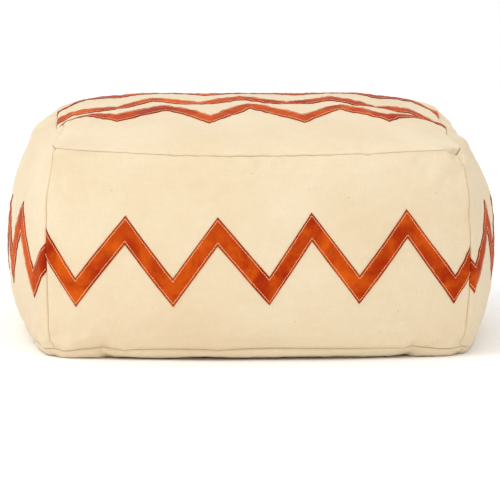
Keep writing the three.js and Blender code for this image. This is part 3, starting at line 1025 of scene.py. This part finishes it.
class Material:
    """A node material, with short ways to add what the ones here are made of."""

    def __init__(self, name):
        self.material = bpy.data.materials.new(name)
        self.material.use_nodes = True
        self.tree = self.material.node_tree
        self.shader = self.tree.nodes["Principled BSDF"]

    def node(self, kind, inputs=None, **settings):
        made = self.tree.nodes.new(kind)
        for key, value in settings.items():
            setattr(made, key, value)
        for key, value in (inputs or {}).items():
            self.put(made.inputs[key], value)
        return made

    def put(self, socket, value):
        if isinstance(value, bpy.types.NodeSocket):
            self.tree.links.new(value, socket)
        else:
            socket.default_value = value

    def math(self, operation, *values):
        made = self.node("ShaderNodeMath", operation=operation)
        for k, value in enumerate(values):
            self.put(made.inputs[k], value)
        return made.outputs[0]

    def noise(self, at, scale, detail=3.0, roughness=0.55, stretch=None):
        if stretch:
            at = self.node("ShaderNodeMapping", {"Vector": at, "Scale": stretch}).outputs[0]
        inputs = {"Vector": at, "Scale": scale, "Detail": detail, "Roughness": roughness}
        return self.node("ShaderNodeTexNoise", inputs).outputs["Fac"]

    def ramp(self, value, low, high):
        inputs = {"Value": value, "From Min": low, "From Max": high}
        return self.node("ShaderNodeMapRange", inputs, interpolation_type="SMOOTHSTEP").outputs[0]

    def blend(self, share, a, b, mode="MIX"):
        made = self.node("ShaderNodeMix", data_type="RGBA", blend_type=mode)
        self.put(made.inputs["Factor"], share)
        self.put(made.inputs[6], a)
        self.put(made.inputs[7], b)
        return made.outputs[2]

    def bump(self, height, distance, strength=1.0, under=None):
        made = self.node("ShaderNodeBump", {"Height": height, "Distance": distance, "Strength": strength})
        if under is not None:
            self.put(made.inputs["Normal"], under)
        return made.outputs[0]

    def finish(self, **inputs):
        for key, value in inputs.items():
            self.put(self.shader.inputs[key.replace("_", " ")], value)
        return self.material


def colour(red, green, blue):
    """A colour given as it looks on a screen, from 0 to 255, as the linear value a shader takes."""

    def linear(c):
        return ((c / 255 + 0.055) / 1.055) ** 2.4 if c > 10 else c / 255 / 12.92

    return (linear(red), linear(green), linear(blue), 1)


def weave(m, pitch):
    """Height of a plain weave on the pattern coordinates, from 0 to 1, and those coordinates."""
    uv = m.node("ShaderNodeUVMap", uv_map="pattern").outputs[0]
    drift = m.noise(uv, 60, 2)
    x, y, _ = m.node("ShaderNodeSeparateXYZ", {"Vector": uv}).outputs
    wave = []
    for axis in (x, y):
        turns = m.math("MULTIPLY", axis, math.pi / (pitch * MM))
        moved = m.math("ADD", turns, m.math("MULTIPLY", drift, 5.0))
        wave.append(m.math("SINE", moved))
    over = m.math("GREATER_THAN", m.math("MULTIPLY", *wave), 0)
    a, b = (m.math("ABSOLUTE", w) for w in wave)
    warp = m.math("MULTIPLY", a, m.math("MULTIPLY_ADD", b, 0.5, 0.5))
    weft = m.math("MULTIPLY", b, m.math("MULTIPLY_ADD", a, 0.5, 0.5))
    return m.math("MULTIPLY_ADD", over, m.math("SUBTRACT", warp, weft), weft), uv


def object_place(m):
    return m.node("ShaderNodeTexCoord").outputs["Object"]


def cloth_material(name, light, dark, pitch, depth):
    """Woven cloth with slubs along its yarns, a cloudy tone, a few dark specks, and painted shade in the low
    places of its weave.
    """
    m = Material(name)
    height, uv = weave(m, pitch)
    warp_slubs = m.noise(uv, 1.0, 3, stretch=(900, 55, 1))
    weft_slubs = m.noise(uv, 1.0, 3, stretch=(55, 900, 1))
    slubs = m.math("ADD", warp_slubs, weft_slubs)
    place = object_place(m)
    clouds = m.noise(place, 7, 4)
    specks = m.ramp(m.noise(place, 210, 1, 0.3), 0.79, 0.83)
    tone = m.math("ADD", m.math("MULTIPLY", slubs, 0.35), m.math("MULTIPLY", clouds, 0.65))
    base = m.blend(m.ramp(tone, 0.4, 1.0), dark, light)
    # Painted shade: the weave's low places, between and under the yarns, are darkened towards the dark tone.
    base = m.blend(m.math("MULTIPLY", m.math("SUBTRACT", 1.0, height), 0.22), base, m.blend(0.5, base, dark))
    base = m.blend(m.math("MULTIPLY", specks, 0.35), base, colour(150, 118, 80))
    relief = m.math("ADD", height, m.math("MULTIPLY", slubs, 0.8))
    soft = m.noise(place, 45, 3)
    normal = m.bump(relief, depth * MM, 0.6, m.bump(soft, 0.0012, 0.35))
    sheen = {"Sheen_Weight": 0.15, "Sheen_Roughness": 0.5}
    return m.finish(Base_Color=base, Roughness=0.92, Specular_IOR_Level=0.15, Normal=normal, **sheen)


def leather_material():
    """Cognac leather: mottled, darker and burnished at its cut edges, with pores and fine creases."""
    m = Material("cognac_leather")
    place = object_place(m)
    edge = m.node("ShaderNodeAttribute", attribute_name="edge").outputs["Fac"]
    mottling = {"Vector": place, "Scale": 13, "Detail": 5, "Roughness": 0.62, "Distortion": 0.8}
    clouds = m.node("ShaderNodeTexNoise", mottling).outputs["Fac"]
    patches = m.noise(place, 40, 3, 0.55)
    streaks = m.noise(place, 1.0, 4, stretch=(90, 90, 30))
    tone = m.math("MULTIPLY_ADD", streaks, 0.15, m.math("MULTIPLY", clouds, 1.15))
    tone = m.math("MULTIPLY_ADD", patches, 0.2, tone)
    base = m.blend(m.ramp(tone, 0.55, 1.0), colour(154, 36, 6), colour(208, 88, 14))
    dark = m.ramp(m.noise(place, 30, 4, 0.6), 0.54, 0.74)
    base = m.blend(m.math("MULTIPLY", dark, 0.35), base, colour(124, 32, 8))
    burnish = m.math("SUBTRACT", 1.0, m.ramp(edge, 0.1, 1.7))
    base = m.blend(m.math("MULTIPLY", burnish, 0.75), base, colour(118, 40, 14))
    voronoi = m.node("ShaderNodeTexVoronoi", {"Vector": place, "Scale": 900}, feature="SMOOTH_F1")
    cells = voronoi.outputs["Distance"]
    pores = m.noise(place, 1500, 2)
    creases = m.noise(place, 120, 5, 0.7)
    relief = m.math("ADD", m.math("MULTIPLY", cells, 0.6), m.math("MULTIPLY", pores, 0.4))
    normal = m.bump(relief, 0.00025, 0.5, m.bump(creases, 0.0012, 0.3))
    rough = m.math("MULTIPLY_ADD", clouds, 0.18, 0.42)
    return m.finish(Base_Color=base, Roughness=rough, IOR=1.3, Specular_IOR_Level=0.08, Normal=normal)


def thread_material():
    m = Material("thread")
    place = object_place(m)
    strands = {"Vector": place, "Scale": 700, "Distortion": 3, "Detail": 2}
    twist = m.node("ShaderNodeTexWave", strands, bands_direction="DIAGONAL").outputs["Fac"]
    base = m.blend(m.noise(place, 160, 2), colour(228, 184, 132), colour(240, 208, 162))
    return m.finish(Base_Color=base, Roughness=0.75, Normal=m.bump(twist, 0.0001, 0.6))


def cotton_material():
    """Loose cotton, in tufts of fine fibres, with painted shade in the hollows between the tufts."""
    m = Material("cotton")
    place = object_place(m)
    tufts = m.noise(place, 55, 6, 0.7)
    fibres = m.noise(place, 1.0, 5, 0.7, stretch=(900, 260, 260))
    # Painted shade: the colour is darker where the tufts are low, in the hollows between them.
    base = m.blend(m.ramp(tufts, 0.35, 0.7), colour(214, 208, 192), colour(240, 236, 226))
    normal = m.bump(fibres, 0.0006, 0.7, m.bump(tufts, 0.004, 0.6))
    return m.finish(Base_Color=base, Roughness=1.0, Sheen_Weight=0.4, Specular_IOR_Level=0.1, Normal=normal)


def nylon_material():
    m = Material("nylon_coil")
    place = object_place(m)
    base = m.blend(m.noise(place, 300, 3), colour(196, 176, 136), colour(218, 200, 160))
    rough = m.math("MULTIPLY_ADD", m.noise(place, 900, 2), 0.2, 0.35)
    return m.finish(Base_Color=base, Roughness=rough, Subsurface_Weight=0.1)


def brass_material():
    """Brass with brown tarnish in patches and fine scratches along it."""
    m = Material("antique_brass")
    place = object_place(m)
    tarnish = m.ramp(m.noise(place, 420, 5, 0.65), 0.42, 0.66)
    base = m.blend(tarnish, colour(196, 160, 92), colour(128, 96, 50))
    scratches = m.noise(place, 1.0, 3, 0.7, stretch=(300, 4200, 4200))
    rough = m.math("MULTIPLY_ADD", tarnish, 0.22, m.math("MULTIPLY_ADD", scratches, 0.14, 0.18))
    return m.finish(Base_Color=base, Metallic=1.0, Roughness=rough, Normal=m.bump(scratches, 0.00003, 0.5))


def floor_material():
    m = Material("floor")
    return m.finish(Base_Color=(0.985, 0.985, 0.985, 1), Roughness=0.8)


def paint(material, *pieces):
    for piece in pieces:
        piece.data.materials.clear()
        piece.data.materials.append(material)


def make_floor():
    """A plain square, which isn't part of the pouf."""
    corners = [(x, y, -FLOOR_GAP * MM) for x, y in ((-1, -1), (1, -1), (1, 1), (-1, 1))]
    mesh = bpy.data.meshes.new("floor")
    mesh.from_pydata([(x * FLOOR_HALF, y * FLOOR_HALF, z) for x, y, z in corners], [], [(0, 1, 2, 3)])
    floor = link(bpy.data.objects.new("floor", mesh))
    paint(floor_material(), floor)


# ---- Assembly ----

make_camera()
make_studio()

shape = stuffed_cover()
shape = settled(shape)
cover_points, cover_faces, numbers = sewn(shape)
cover_normals = point_normals(cover_points, cover_faces)
side = {
    name: (Underside if name == "bottom" else Side)(name, cover_points[own], cover_normals[own])
    for name, own in numbers.items()
}

canvas = cloth_material("canvas", colour(232, 217, 188), colour(222, 200, 165), YARN, 0.22)
muslin = cloth_material("muslin", colour(232, 226, 210), colour(214, 204, 182), 0.7, 0.15)
tape_cloth = cloth_material("zip_tape", colour(208, 188, 148), colour(186, 164, 122), 0.45, 0.12)
cotton = cotton_material()
nylon = nylon_material()
brass = brass_material()
leather = leather_material()
thread = thread_material()

bands = {
    "front": [("front", FRONT_BENDS)],
    "right": [("right", bends_of(RIGHT_BENDS, low_x=-150, height=-19, rise=84, seed=3))],
    "back": [("back", bends_of([], low_x=-250, height=-8, rise=92, seed=4))],
    "left": [("left", bends_of(LEFT_BENDS, low_x=135, height=-23, rise=80, seed=5))],
    "top": [
        ("top_front", TOP_FRONT_BENDS),
        ("top_middle", TOP_MIDDLE_BENDS),
        ("top_back", bends_of([], low_x=-66, height=148, rise=RISE, seed=22)),
    ],
}


for name in [*WALLS, "top"]:
    on = side[name]
    panel = make_panel(on, f"{name}_cover", f"{name}_panel")
    paint(canvas, panel)
    going = []
    for row, bends in bands[name]:
        band = make_band(on, f"{row}_band", f"{row}_zigzag", bends)
        paint(leather, band)
        stitches = make_stitches(on, f"{row}_topstitching", band_lines(on, bends))
        paint(thread, stitches)
        going += [band, stitches]

for name, sign in (("front", -1), ("back", 1)):
    under = side["bottom"]
    panel = make_bottom_panel(under, f"bottom_{name}_cover", f"bottom_{name}_panel", sign)
    tape = make_tape(f"zip_tape_{name}_woven", f"zip_tape_{name}", sign)
    coil = make_coil(f"zip_coil_{name}_spiral", f"zip_coil_{name}", sign)
    sewing = make_seam_stitches(f"zip_{name}_stitches", hem_lines(under, sign))
    coil_sewing = f"zip_coil_{name}_stitches"
    holding = make_seam_stitches(coil_sewing, coil_lines(sign), COIL_THREAD, COIL_PITCH)
    paint(canvas, panel)
    paint(tape_cloth, tape)
    paint(nylon, coil)
    paint(thread, sewing, holding)

for name, node, body, width in (
    ("zip_top_clip_front", "zip_top_stop_front", "cover", 0.6),
    ("zip_top_clip_back", "zip_top_stop_back", "cover", 0.6),
    ("zip_bottom_clip", "zip_bottom_stop", "cover", 0.7),
    ("zip_slider_cast", "zip_slider", "slider", 0.28),
    ("zip_pull_tab", "zip_pull", "pull", 0.25),
):
    paint(brass, refined(name, node, body, width))

stuffing = make_stuffing()
paint(cotton, stuffing)
bag = make_inner_bag()
lacing = make_lacing()
paint(muslin, bag)
paint(thread, lacing)

make_floor()
